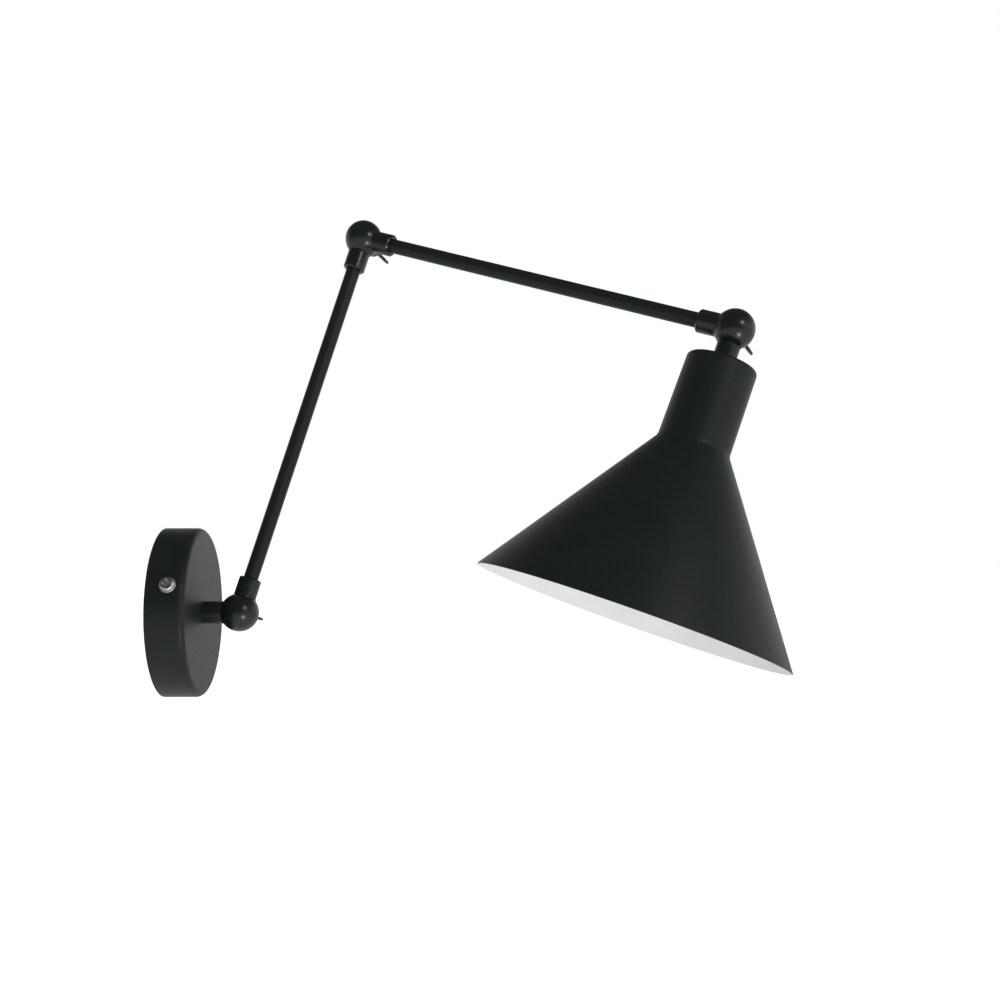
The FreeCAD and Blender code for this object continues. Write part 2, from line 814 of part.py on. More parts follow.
def knuckle_half(label, side, reach, place, spigot_end=None):
    """Half of a split ball with its neck.

    The half keeps to its own side of the split, apart from the neck, which runs on both
    sides and is hollowed where the other half turns past it.  The neck ends in a socket for
    a tube, or in a threaded spigot that runs on to spigot_end.
    """
    ball_radius = mm.ball_diameter / 2
    neck_radius = mm.neck_diameter / 2
    relief = ball_radius + mm.ball_relief
    shoulder = reach - mm.collar_chamfer
    tip_radius = neck_radius if spigot_end else neck_radius - mm.collar_chamfer
    blank = fused(
        ball(ball_radius),
        cylinder(neck_radius, shoulder, turn=ALONG_X),
        collar_end(neck_radius, tip_radius, shoulder),
    )
    doc.recompute()
    blended = blend_neck(blank, root(ball_radius * ball_radius - neck_radius * neck_radius), neck_radius)
    bore_start = ball_radius - mm.ball_wall - PAST
    disc_half = mm.friction_disc_thickness / 2
    stud_radius = mm.stud_diameter / 2
    taken = [
        half_ball(relief, -side, mm.split_gap / 2 * side),
        hollow(side),
        upright(mm.boss_diameter / 2 + mm.fit_gap, side, 0, disc_half),
        cylinder(mm.wire_bore / 2, (spigot_end or reach) + PAST, x=bore_start, turn=ALONG_X),
    ]
    if side == NEAR_SIGN:
        taken.append(upright(stud_radius + mm.thread_gap, side, 0, mm.stud_blind_depth))
    else:
        seat = mm.nut_washer_diameter / 2 + mm.seat_margin
        taken.append(upright(stud_radius + mm.running_gap, side, 0, relief))
        taken.append(upright(seat, side, mm.seat_height, relief))
    if spigot_end:
        spigot = cylinder(mm.spigot_diameter / 2, spigot_end - shoulder, x=shoulder, turn=ALONG_X)
        return keep(label, cut(fused(blended, spigot), *taken), place)
    bore = mm.tube_diameter / 2 + mm.thread_gap
    taken.append(cylinder(bore, mm.socket_depth + PAST, x=reach - mm.socket_depth, turn=ALONG_X))
    return keep(label, cut(blended, *taken), place)


def collar_end(neck_radius, tip_radius, shoulder):
    """The last stretch of a neck, with its chamfer where the neck ends in a socket."""
    if tip_radius is neck_radius:
        return cylinder(neck_radius, mm.collar_chamfer, x=shoulder, turn=ALONG_X)
    return cone(neck_radius, tip_radius, mm.collar_chamfer, x=shoulder, turn=ALONG_X)


def blend_neck(blank, distance, radius):
    """Rounds the crease where the neck leaves the ball."""
    numbers = [
        number
        for number, edge in enumerate(blank.Shape.Edges, start=1)
        if not edge.Degenerated
        and isinstance(edge.Curve, Part.Circle)
        and abs(edge.Curve.Radius - radius.number) < 0.001
        and abs(edge.Curve.Center.x - distance.number) < 0.001
    ]
    feature = doc.addObject("Part::Fillet", "Blend")
    feature.Base = blank
    feature.Edges = [(number, mm.neck_blend.number, mm.neck_blend.number) for number in numbers]
    doc.recompute()
    return feature


def hollow(side):
    """The chamber for the wires inside a half: a half ball around the boss of the pivot."""
    chamber = half_ball(mm.ball_diameter / 2 - mm.ball_wall, side)
    return cut(chamber, cylinder(mm.boss_diameter / 2, mm.ball_diameter, z=-mm.ball_diameter / 2))


def wing_nut(label, place):
    """A wing nut: a tapered hub and two upswept ears."""
    base = mm.seat_height + mm.nut_washer_thickness
    hub = mm.wing_hub_diameter / 2
    hub_top = mm.wing_hub_top_diameter / 2
    bore = mm.stud_diameter / 2 + mm.running_gap
    top = base + mm.wing_hub_height
    body = turned(label, [(bore, base), (hub, base), (hub_top, top), (bore, top)])
    sketch = new_sketch(body, "XZ_Plane")
    inner = (bore + hub_top) / 2
    foot = base + mm.wing_ear_foot
    tip = base + mm.wing_rise
    ear = [
        (inner, foot),
        (hub + mm.wing_ear_root, foot),
        (mm.wing_half_span, tip - mm.wing_ear_height),
        (mm.wing_half_span, tip),
        (mm.wing_half_span - mm.wing_ear_width, tip),
        (inner, top - mm.wing_ear_foot),
    ]
    draw_outline(sketch, ear)
    pad(body, sketch, mm.wing_ear_thickness)
    doc.recompute()
    plate = body.Tip
    mirror = body.newObject("PartDesign::Mirrored", "Other_ear")
    mirror.Originals = [plate]
    mirror.MirrorPlane = (next(p for p in body.Origin.OriginFeatures if p.Role == "YZ_Plane"), [""])
    body.Tip = mirror
    doc.recompute()
    names = [
        f"Edge{number}"
        for number, edge in enumerate(mirror.Shape.Edges, start=1)
        if ear_corner(edge, mm.wing_half_span.number)
    ]
    add_fillet(body, mirror, names, mm.wing_ear_round)
    keep(label, body, place)


def ear_corner(edge, half_span):
    """Whether an edge is one of the two outer corners of an ear."""
    box = edge.BoundBox
    straight = box.XLength < 0.001 and box.ZLength < 0.001
    return straight and abs(abs(box.XMin) - half_span) < 0.001


def wing_place(place, degrees):
    """The knuckle's frame turned about its pivot to where the ears of the nut point."""
    return place.multiply(Placement(Vector(0, 0, 0), Rotation(Vector(0, 0, 1), degrees.number)))


def make_pivot(name, place, ear_turn):
    """Stud, friction disc, washer and wing nut of one knuckle."""
    base = mm.seat_height + mm.nut_washer_thickness
    low = -mm.stud_blind_depth
    high = base + mm.wing_hub_height + mm.stud_overrun
    radius = mm.stud_diameter / 2
    tip = radius - mm.stud_chamfer
    shoulder = high - mm.stud_chamfer
    stud = turned(f"stud_{name}", [(0, low), (radius, low), (radius, shoulder), (tip, high), (0, high)])
    keep(f"pivot_stud_{name}", stud, place)
    disc_half = mm.friction_disc_thickness / 2
    bore = radius + mm.running_gap
    disc = ring(f"disc_{name}", mm.boss_diameter / 2, bore, -disc_half, disc_half)
    keep(f"friction_disc_{name}", disc, place)
    washer = ring(f"washer_{name}", mm.nut_washer_diameter / 2, bore, mm.seat_height, base)
    keep(f"nut_washer_{name}", washer, place)
    wing_nut(f"wing_nut_{name}", wing_place(place, ear_turn))


def make_tube(label, place):
    """An arm tube, from the floor of one collar to the floor of the other."""
    start = mm.collar_reach - mm.socket_depth
    outer = mm.tube_diameter / 2
    tube = ring(label, outer, outer - mm.tube_wall, start, mm.arm_length - start)
    keep(label, tube, place)


# ---------------------------------------------------------------- shade and lampholder


def make_shade():
    """The spun shade: a round neck, a little wider at its waist, that opens into a cone."""
    skin = mm.shade_wall
    neck = mm.shade_neck_diameter / 2
    waist = mm.shade_waist_diameter / 2
    mouth = mm.shade_mouth_diameter / 2
    slope = (mouth - waist) / (mm.shade_mouth - mm.shade_neck_end)
    slant = skin * root(slope * slope + 1)
    inner_waist = mm.shade_neck_end + (slant - skin) / slope
    hole = mm.spigot_diameter / 2 + mm.running_gap
    body = turned(
        "shade",
        [
            (hole, mm.shade_top),
            (neck, mm.shade_top),
            (waist, mm.shade_neck_end),
            (mouth, mm.shade_mouth),
            (mouth - slant, mm.shade_mouth),
            (waist - skin, inner_waist),
            (neck - skin, mm.shade_top + skin),
            (hole, mm.shade_top + skin),
        ],
    )
    rounded(body, mm.shade_shoulder_round, (neck, mm.shade_top))
    rounded(body, mm.shade_shoulder_round - skin, (neck - skin, mm.shade_top + skin))
    rounded(body, mm.shade_waist_round, (waist, mm.shade_neck_end))
    rounded(body, mm.shade_waist_round + skin, (waist - skin, inner_waist))
    keep("shade", body, shade_axis)


def make_shade_fixings():
    """The washer and the nut that clamp the shade on the spigot of its knuckle."""
    bore = mm.spigot_diameter / 2 + mm.thread_gap
    low = mm.shade_top + mm.shade_wall
    high = low + mm.shade_washer_thickness
    keep("shade_washer", ring("washer", mm.shade_washer_diameter / 2, bore, low, high), shade_axis)
    keep("shade_lock_nut", hex_nut(mm.lock_nut_flats, bore, high, mm.lock_nut_height), shade_axis)
    return high + mm.lock_nut_height


def make_lampholder(start):
    """The holder: cap, skirt, core, threaded shell, centre contact and terminals."""
    outer = mm.holder_diameter / 2
    wall_inside = outer - mm.holder_wall
    bore = mm.spigot_diameter / 2 + mm.thread_gap
    boss = mm.holder_boss_diameter / 2
    shoulder = start + mm.holder_boss_height
    dome = shoulder + mm.holder_dome_height
    lap = mm.holder_skirt_start + mm.holder_overlap
    lap_radius = wall_inside + mm.holder_wall / 2
    cap = turned(
        "lampholder_cap",
        [
            (bore, start),
            (boss, start),
            (boss, shoulder),
            (outer, dome),
            (outer, mm.holder_skirt_start),
            (lap_radius, mm.holder_skirt_start),
            (lap_radius, lap),
            (wall_inside, lap),
            (wall_inside, dome + mm.holder_wall / 2),
            (boss, shoulder + mm.holder_wall),
            (bore, shoulder + mm.holder_wall),
        ],
    )
    keep("lampholder_cap", cap, shade_axis)
    core_low = mm.core_top + mm.core_thickness
    shell_outer = mm.cap_bore / 2 + mm.screw_shell_wall
    skirt_bore = shell_outer + mm.thread_gap
    lap_bore = lap_radius + mm.thread_gap
    skirt = turned(
        "lampholder_skirt",
        [
            (lap_bore, mm.holder_skirt_start),
            (outer, mm.holder_skirt_start),
            (outer, mm.holder_mouth - mm.holder_edge_chamfer),
            (outer - mm.holder_edge_chamfer, mm.holder_mouth),
            (skirt_bore + mm.holder_bore_chamfer, mm.holder_mouth),
            (skirt_bore, mm.holder_mouth - mm.holder_bore_chamfer),
            (skirt_bore, core_low),
            (lap_bore, core_low),
        ],
    )
    keep("lampholder_skirt", skirt, shade_axis)
    stem = mm.contact_stem_diameter / 2
    core = ring("lampholder_core", mm.core_diameter / 2, stem + mm.thread_gap, mm.core_top, core_low)
    keep("lampholder_core", core, shade_axis)
    shell_end = core_low + mm.screw_shell_length
    floor = core_low + mm.screw_shell_wall
    floor_hole = mm.screw_shell_hole / 2
    foot = mm.screw_shell_foot_diameter / 2
    wall_start = core_low + mm.screw_shell_taper
    shell = turned(
        "screw_shell",
        [
            (floor_hole, core_low),
            (foot, core_low),
            (shell_outer, wall_start),
            (shell_outer, shell_end),
            (mm.cap_bore / 2, shell_end),
            (mm.cap_bore / 2, wall_start),
            (foot, floor),
            (floor_hole, floor),
        ],
    )
    keep("screw_shell", shell, shade_axis)
    button = mm.contact_diameter / 2
    stem_end = mm.core_top - mm.contact_stem_end
    tip = core_low + mm.contact_height
    contact = turned(
        "centre_contact",
        [
            (0, stem_end),
            (stem, stem_end),
            (stem, core_low),
            (button, core_low),
            (button, tip - mm.contact_chamfer),
            (button - mm.contact_chamfer, tip),
            (0, tip),
        ],
    )
    keep("centre_contact", contact, shade_axis)
    make_holder_terminals()


def make_holder_terminals():
    """Two brass blocks on the core, each with a clamp screw and a hole for its wire."""
    size = mm.terminal_size
    radius = mm.terminal_screw_diameter / 2
    low = mm.core_top - size
    middle = low + size / 2
    start = size / 2 - mm.terminal_screw_depth
    slot = mm.screw_slot_depth
    slot_place = start + mm.terminal_screw_length - slot
    blocks = []
    screws = []
    for side in (-1, 1):
        y = mm.terminal_spread * side
        body = block(size, size, size, -size / 2, y, low)
        wire_hole = cylinder(mm.wire_diameter / 2 + mm.fit_gap, size / 2 + PAST, 0, y, low - PAST)
        screw_hole = cylinder(radius + mm.thread_gap, size, start, y, middle, ALONG_X)
        blocks.append(cut(body, wire_hole, screw_hole))
        shank = cylinder(radius, mm.terminal_screw_length, start, y, middle, ALONG_X)
        width = mm.terminal_screw_diameter + 2 * PAST
        height = mm.screw_slot_width
        screws.append(cut(shank, block(slot + PAST, width, height, slot_place, y, middle - height / 2)))
    keep("lampholder_terminals", group(*blocks), shade_axis)
    keep("lampholder_terminal_screws", group(*screws), shade_axis)


# ---------------------------------------------------------------- wiring


NEAR_STRAIGHT = 0.02  # a turn, in radians, too small to need an arc
ARC_SHARE = 0.45  # how much of the shorter run an arc takes up at a corner


def wire_solid(points, radius):
    """A round wire along straight runs that are joined by tangent arcs."""
    edges = []
    at = points[0]
    for before, corner, after in zip(points, points[1:], points[2:]):
        back = (before - corner).normalize()
        ahead = (after - corner).normalize()
        turn = math.pi - back.getAngle(ahead)
        if turn < NEAR_STRAIGHT:
            continue
        reach = ARC_SHARE * min((before - corner).Length, (after - corner).Length)
        start = corner + back * reach
        end = corner + ahead * reach
        bend = reach / math.tan(turn / 2)
        inwards = (back + ahead).normalize()
        middle = corner + inwards * (bend / math.cos(turn / 2) - bend)
        edges.append(Part.LineSegment(at, start).toShape())
        edges.append(Part.Arc(start, middle, end).toShape())
        at = end
    edges.append(Part.LineSegment(at, points[-1]).toShape())
    path = Part.Wire(edges)
    first_way = (points[1] - points[0]).normalize()
    rim = Part.Wire([Part.Circle(points[0], first_way, radius).toShape()])
    return path.makePipeShell([rim], True, False), path.Length


def neck_points(place, side, towards, inside, reach):
    """A wire from the split plane of a knuckle, round its boss and out through the neck.

    The inside wire crosses the split between the two necks, the outside wire opposite it.
    towards is the angle about the pivot from this half's neck to the other half's neck.
    """
    orbit = mm.wire_orbit.number
    lift = mm.wire_side.number * side
    way = math.copysign(1, towards)
    crossing = towards / 2 if inside else towards / 2 - way * 180
    shares = (1,) if inside else (1, 2 / 3, 1 / 3)
    local = [Vector(*polar(orbit, crossing), 0)]
    for share in shares:
        local.append(Vector(*polar(orbit, crossing * share), lift))
    side_step = mm.wire_spacing.number / 2 * (way if inside else -way)
    mouth = (mm.ball_diameter / 2 - mm.ball_wall - mm.wire_exit).number
    local.append(Vector(mouth, side_step, lift))
    local.append(Vector(reach, side_step, lift))
    return [place.multVec(point) for point in local]


def polar(radius, degrees):
    """The x and y of a point at an angle."""
    return radius * math.cos(math.radians(degrees)), radius * math.sin(math.radians(degrees))


def lay_wires(label, *routes):
    """Makes the wires of one stretch as a sub-part."""
    thing = doc.addObject("Part::Feature", label)
    radius = mm.wire_diameter.number / 2
    solids = []
    for points in routes:
        solid, length = wire_solid(points, radius)
        section = solid.Volume / (math.pi * radius * radius)
        print(f"{label}: {length:.1f} mm along its path, {section:.1f} mm by its volume")
        solids.append(solid)
    thing.Shape = Part.Compound(solids) if len(solids) > 1 else solids[0]
    keep(label, thing, Placement())


def signed_angle(start, end, axis):
    """The angle from one direction to another about an axis."""
    return math.degrees(math.atan2(start.cross(end).dot(axis), start.dot(end)))


def make_wiring():
    """Two wires from the terminal block to the lampholder, stretch by stretch."""
    lower_angle = signed_angle(-OUT, lower_way, far_lower)
    elbow_angle = signed_angle(upper_way, -lower_way, far_elbow)
    shade_angle = signed_angle(-upper_way, shade_way, far_shade)
    floor = (mm.collar_reach - mm.socket_depth).number
    stub_tip = (stub_spigot + PAST).number
    shade_tip = (mm.shade_spigot_reach + PAST).number
    stub = []
    lower = []
    upper = []
    shade = []
    for inside in (True, False):
        stub.append(neck_points(stub_half, NEAR_SIGN, lower_angle, inside, stub_tip))
        start = neck_points(lower_start, FAR_SIGN, -lower_angle, inside, floor)
        end = neck_points(lower_end, FAR_SIGN, -elbow_angle, not inside, floor)
        lower.append(start + end[::-1])
        start = neck_points(upper_start, NEAR_SIGN, elbow_angle, inside, floor)
        end = neck_points(upper_end, NEAR_SIGN, shade_angle, inside, floor)
        upper.append(start + end[::-1])
        start = neck_points(shade_half, FAR_SIGN, -shade_angle, inside, shade_tip)
        shade.append(start + holder_points(start[-1]))
    lay_wires("wires_stub", *stub)
    lay_wires("wires_lower_arm", *lower)
    lay_wires("wires_upper_arm", *upper)
    lay_wires("wires_shade", *shade)
    lay_wires("wires_wall", *[wall_points(points[-1]) for points in stub])
    lay_wires("earth_wire", earth_points())


def holder_points(start):
    """The end of a wire in the lampholder: over to its terminal and down into it."""
    hand = math.copysign(1, shade_axis.inverse().multVec(start).y)
    side = mm.terminal_spread.number * hand
    top = (mm.core_top - mm.terminal_size).number
    heights = (top - mm.terminal_size.number, top + mm.wire_exit.number)
    return [shade_axis.multVec(Vector(0, side, height)) for height in heights]


def wall_points(end):
    """A wire from its pole of the terminal block to the foot of the stub."""
    local = wall.inverse().multVec(end)
    poles = pole_places()
    pole = (poles[0] if local.y < 0 else poles[1]).number
    level = sleeve_level().number
    inside_sleeve = (mm.block_place + mm.wire_entry).number
    outside = (mm.block_place - mm.wire_run_out).number
    route = [
        Vector(inside_sleeve, pole, level),
        Vector(outside, pole, level),
        Vector(local.x, local.y, level),
        local,
    ]
    return [wall.multVec(point) for point in route]


def earth_points():
    """The earth wire, from the third pole across the stub's axis to the ring lug."""
    pole = pole_places()[2].number
    level = sleeve_level().number
    inside_sleeve = (mm.block_place + mm.wire_entry).number
    outside = (mm.block_place - mm.wire_run_out).number
    lug_end = (mm.earth_barrel_place + mm.earth_barrel_length - mm.earth_place).number
    lug_level = earth_level().number
    bend = lug_end + mm.earth_barrel_length.number
    route = [
        Vector(inside_sleeve, pole, level),
        Vector(outside, pole, level),
        Vector((outside + bend) / 2, pole, (level + lug_level) / 2),
        Vector(bend, 0, lug_level),
        Vector(lug_end, 0, lug_level),
    ]
    return [wall.multVec(point) for point in route]


# ---------------------------------------------------------------- the lamp

make_bracket()
make_canopy()
make_side_screws()
make_terminal_block()
make_terminals()
make_earth_point()
make_swivel()

stub_reach = mm.stand_off - mm.canopy_depth - mm.swivel_washer_thickness
stub_spigot = mm.stand_off - mm.wall_spigot_reach
knuckle_half("knuckle_front_stub", NEAR_SIGN, stub_reach, stub_half, stub_spigot)
knuckle_half("knuckle_rear_lower", FAR_SIGN, mm.collar_reach, lower_start)
make_tube("lower_arm_tube", lower_arm)
knuckle_half("knuckle_rear_elbow", FAR_SIGN, mm.collar_reach, lower_end)
knuckle_half("knuckle_front_elbow", NEAR_SIGN, mm.collar_reach, upper_start)
make_tube("upper_arm_tube", upper_arm)
knuckle_half("knuckle_front_shade", NEAR_SIGN, mm.collar_reach, upper_end)
knuckle_half("knuckle_rear_shade", FAR_SIGN, mm.shade_top, shade_half, mm.shade_spigot_reach)
make_pivot("lower", lower_start, mm.wing_turn_lower)
make_pivot("elbow", lower_end, mm.wing_turn_elbow)
make_pivot("shade", shade_half, mm.wing_turn_shade)

make_shade()
make_lampholder(make_shade_fixings())
make_wiring()

# ---------------------------------------------------------------- check and write

doc.recompute()
for thing in doc.Objects:
    if "Invalid" in thing.State or "Error" in thing.State:
        raise RuntimeError(f"{thing.Label}: {thing.State}")
os.makedirs("parts", exist_ok=True)
for thing in sub_parts:
    shape = thing.Shape
    if shape.isNull() or not shape.isValid():
        raise RuntimeError(f"{thing.Label}: bad shape")
    shape.exportStep(f"parts/{thing.Label}.step")
    print(f"{thing.Label}: {len(shape.Solids)} solids, {shape.Volume / 1000:.3f} cm3")
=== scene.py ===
# %% [markdown]
# # A folding wall lamp, dressed for a photograph
#
# The lamp is a round canopy on the wall, three ball knuckles that are clamped by wing nuts,
# two tube arms and a cone shade.  The measured model arrives as a fixed frame: it says where
# every piece is and how it turns.  This lesson keeps the pieces whose shape is right, gives
# each a finish, and makes again, as smooth surfaces, the pieces that need finer detail.

import json
import math

import bmesh
import bpy
import numpy as np
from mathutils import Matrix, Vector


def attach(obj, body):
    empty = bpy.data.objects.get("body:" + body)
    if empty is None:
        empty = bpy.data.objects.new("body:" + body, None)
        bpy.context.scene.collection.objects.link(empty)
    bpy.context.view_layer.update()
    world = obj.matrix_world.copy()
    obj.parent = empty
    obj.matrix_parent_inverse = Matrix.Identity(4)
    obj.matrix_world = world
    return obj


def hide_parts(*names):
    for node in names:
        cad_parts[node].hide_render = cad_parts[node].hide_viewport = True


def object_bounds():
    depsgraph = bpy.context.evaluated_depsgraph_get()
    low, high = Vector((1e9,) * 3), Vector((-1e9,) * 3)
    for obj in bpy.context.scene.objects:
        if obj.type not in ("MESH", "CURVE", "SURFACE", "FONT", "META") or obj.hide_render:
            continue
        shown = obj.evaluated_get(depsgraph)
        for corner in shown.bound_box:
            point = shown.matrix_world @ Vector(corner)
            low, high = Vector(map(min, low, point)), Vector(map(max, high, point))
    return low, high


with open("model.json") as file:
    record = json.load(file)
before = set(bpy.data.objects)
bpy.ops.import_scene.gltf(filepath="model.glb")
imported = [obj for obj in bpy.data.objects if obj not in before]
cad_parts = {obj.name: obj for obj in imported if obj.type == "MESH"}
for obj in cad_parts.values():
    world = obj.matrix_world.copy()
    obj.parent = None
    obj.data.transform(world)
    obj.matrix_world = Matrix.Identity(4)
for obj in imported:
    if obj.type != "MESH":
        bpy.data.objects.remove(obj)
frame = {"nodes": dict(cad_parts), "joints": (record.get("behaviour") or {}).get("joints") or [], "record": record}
cad_low, cad_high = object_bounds()
print("the measured lamp reaches from", tuple(cad_low), "to", tuple(cad_high))

# %% [markdown]
# ## Where the pieces are
#
# The joints and mounts of the frame give the pivots and the directions of the arms, so no
# place is typed here.  Each piece is made in a handy frame of its own, such as one whose Z
# runs along the shade, and the points are then carried to where the piece is on the lamp.

# %% Pivots and directions
MM = 0.001
joints = {joint["name"]: joint for joint in frame["joints"]}
mounts = {mount["name"]: mount for mount in frame["record"]["mounts"]}
OUT = np.array([1.0, 0.0, 0.0])


def unit(way):
    """A direction of length one."""
    return np.asarray(way, float) / np.linalg.norm(way)


lower_centre = np.array(joints["lower_arm_pivot"]["pos_m"])
elbow_centre = np.array(joints["elbow_pivot"]["pos_m"])
shade_centre = np.array(joints["shade_pivot"]["pos_m"])
far_lower = -unit(joints["lower_arm_pivot"]["axis"])
far_elbow = unit(joints["elbow_pivot"]["axis"])
far_shade = unit(joints["shade_pivot"]["axis"])
shade_way = unit(mounts["bulb_socket"]["axis"])
lower_way = unit(elbow_centre - lower_centre)
strip_way = unit(mounts["wall_face"]["pos_m"])


def place_at(origin, x_way, z_way):
    """The 4 by 4 matrix of a frame whose X and Z point the given ways."""
    x_way, z_way = unit(x_way), unit(z_way)
    matrix = np.eye(4)
    matrix[:3, :3] = np.column_stack([x_way, np.cross(z_way, x_way), z_way])
    matrix[:3, 3] = origin
    return matrix


wall_place = place_at((0, 0, 0), strip_way, OUT)
shade_place = place_at(shade_centre, far_shade, shade_way)
knuckle_places = {
    "lower": place_at(lower_centre, lower_way, far_lower),
    "elbow": place_at(elbow_centre, -lower_way, far_elbow),
    "shade": place_at(shade_centre, shade_way, far_shade),
}
print("arms of", [round(float(np.linalg.norm(run)), 4) for run in (elbow_centre - lower_centre,
                                                                  shade_centre - elbow_centre)])

# %% [markdown]
# ## Materials
#
# Everything the eye meets first is black enamel.  On the real lamp it is sprayed and baked: a
# satin coat with a faint pebble, a little unevenly glossy.  Two noises give that: one a couple
# of millimetres wide that varies the roughness, and one finer that lifts the surface by a few
# microns.  Object coordinates are metres here, so a noise of scale 500 has a 2 mm grain.

# %% Nodes for every material
BUMP_STEP = 0.00002  # metres of height that a full swing of a pattern stands for


def new_material(name):
    """An empty node material with its shader, and object coordinates to feed patterns."""
    material = bpy.data.materials.new(name)
    material.use_nodes = True
    nodes = material.node_tree.nodes
    shader = nodes["Principled BSDF"]
    where = nodes.new("ShaderNodeTexCoord")
    return material, shader, where.outputs["Object"]


def join(material, out_socket, in_socket):
    """Links two sockets."""
    material.node_tree.links.new(out_socket, in_socket)


def noise(material, where, scale, detail=3.0):
    """A noise pattern from 0 to 1 whose grain is about one over its scale, in metres."""
    node = material.node_tree.nodes.new("ShaderNodeTexNoise")
    node.inputs["Scale"].default_value = scale
    node.inputs["Detail"].default_value = detail
    join(material, where, node.inputs["Vector"])
    return node.outputs["Fac"]


def spread(material, pattern, low, high, start=0.3, end=0.7):
    """Turns a pattern into numbers from low to high."""
    node = material.node_tree.nodes.new("ShaderNodeMapRange")
    node.inputs["From Min"].default_value = start
    node.inputs["From Max"].default_value = end
    node.inputs["To Min"].default_value = low
    node.inputs["To Max"].default_value = high
    join(material, pattern, node.inputs["Value"])
    return node.outputs["Result"]


def mixed(material, pattern, first, second):
    """A colour that goes from the first to the second as a pattern goes from 0 to 1."""
    node = material.node_tree.nodes.new("ShaderNodeMix")
    node.data_type = "RGBA"
    node.inputs["A"].default_value = (*first, 1)
    node.inputs["B"].default_value = (*second, 1)
    join(material, pattern, node.inputs["Factor"])
    return node.outputs["Result"]


def raise_surface(material, shader, pattern, strength, step=BUMP_STEP):
    """Lets a pattern lift the surface."""
    node = material.node_tree.nodes.new("ShaderNodeBump")
    node.inputs["Strength"].default_value = strength
    node.inputs["Distance"].default_value = step
    join(material, pattern, node.inputs["Height"])
    join(material, node.outputs["Normal"], shader.inputs["Normal"])


# %% Enamels
BLACK = (0.0070, 0.0105, 0.0103)
BLACK_WORN = (0.0082, 0.0120, 0.0118)
WHITE = (0.86, 0.86, 0.85)
WHITE_SHADED = (0.80, 0.80, 0.79)


def enamel(name, colour, other_colour, smooth, rough, pebble=0.35, specular=0.5):
    """Sprayed enamel: two near colours in soft clouds, uneven gloss and a faint pebble."""
    material, shader, where = new_material(name)
    clouds = noise(material, where, 45)
    grain = noise(material, where, 520, 2.0)
    pebbles = noise(material, where, 1500, 1.0)
    join(material, mixed(material, spread(material, clouds, 0, 1), colour, other_colour),
         shader.inputs["Base Color"])
    join(material, spread(material, grain, smooth, rough), shader.inputs["Roughness"])
    shader.inputs["Specular IOR Level"].default_value = specular
    raise_surface(material, shader, pebbles, pebble)
    return material


black_enamel = enamel("black_enamel", BLACK, BLACK_WORN, 0.42, 0.48, 0.15, specular=0.3)
cast_enamel = enamel("cast_enamel", BLACK, BLACK_WORN, 0.24, 0.30, 0.2, specular=0.5)
white_enamel = enamel("white_enamel", WHITE, WHITE_SHADED, 0.42, 0.52, specular=0.4)


# %% [markdown]
# Screws, washers and the bracket are zinc-plated steel.  Plating is brighter than the bare
# metal but never a mirror: fine scratches from the barrel it was plated in scatter the light.
# Brass and nickel parts get the same treatment with other colours.

# %% Plated metals
def plated(name, colour, other_colour, smooth, rough, scratch=0.6):
    """Metal with cloudy colour, and scratches that are a noise drawn out along one way."""
    material, shader, where = new_material(name)
    clouds = noise(material, where, 160)
    stretch = material.node_tree.nodes.new("ShaderNodeMapping")
    stretch.inputs["Scale"].default_value = (1, 9, 3)
    stretch.inputs["Rotation"].default_value = (0.4, 0.2, 0.7)
    join(material, where, stretch.inputs["Vector"])
    scratches = noise(material, stretch.outputs["Vector"], 900, 2.0)
    join(material, mixed(material, spread(material, clouds, 0, 1), colour, other_colour),
         shader.inputs["Base Color"])
    shader.inputs["Metallic"].default_value = 1
    join(material, spread(material, scratches, smooth, rough), shader.inputs["Roughness"])
    raise_surface(material, shader, scratches, scratch, BUMP_STEP / 4)
    return material


zinc = plated("zinc_plating", (0.74, 0.75, 0.76), (0.62, 0.63, 0.65), 0.34, 0.46)
galvanised = plated("galvanised_sheet", (0.52, 0.54, 0.55), (0.40, 0.42, 0.44), 0.34, 0.52)
brass = plated("brass", (0.72, 0.53, 0.24), (0.60, 0.42, 0.18), 0.26, 0.40)
nickel = plated("nickel_plating", (0.66, 0.62, 0.56), (0.58, 0.54, 0.48), 0.20, 0.32)


# %% [markdown]
# What is left is moulded or woven from nothing metallic: the lampholder is black phenolic, its
# core is glazed porcelain, the terminal block is white nylon, the friction discs are red
# vulcanised fibre and the wires have soft plastic insulation.

# %% Moulded materials
def moulded(name, colour, other_colour, smooth, rough, grain_scale=700, pebble=0.4):
    """Moulded plastic or fibre: clouded colour, uneven gloss and a fine grain."""
    material, shader, where = new_material(name)
    clouds = noise(material, where, 120)
    grain = noise(material, where, grain_scale, 3.0)
    join(material, mixed(material, spread(material, clouds, 0, 1), colour, other_colour),
         shader.inputs["Base Color"])
    join(material, spread(material, grain, smooth, rough), shader.inputs["Roughness"])
    raise_surface(material, shader, grain, pebble)
    return material


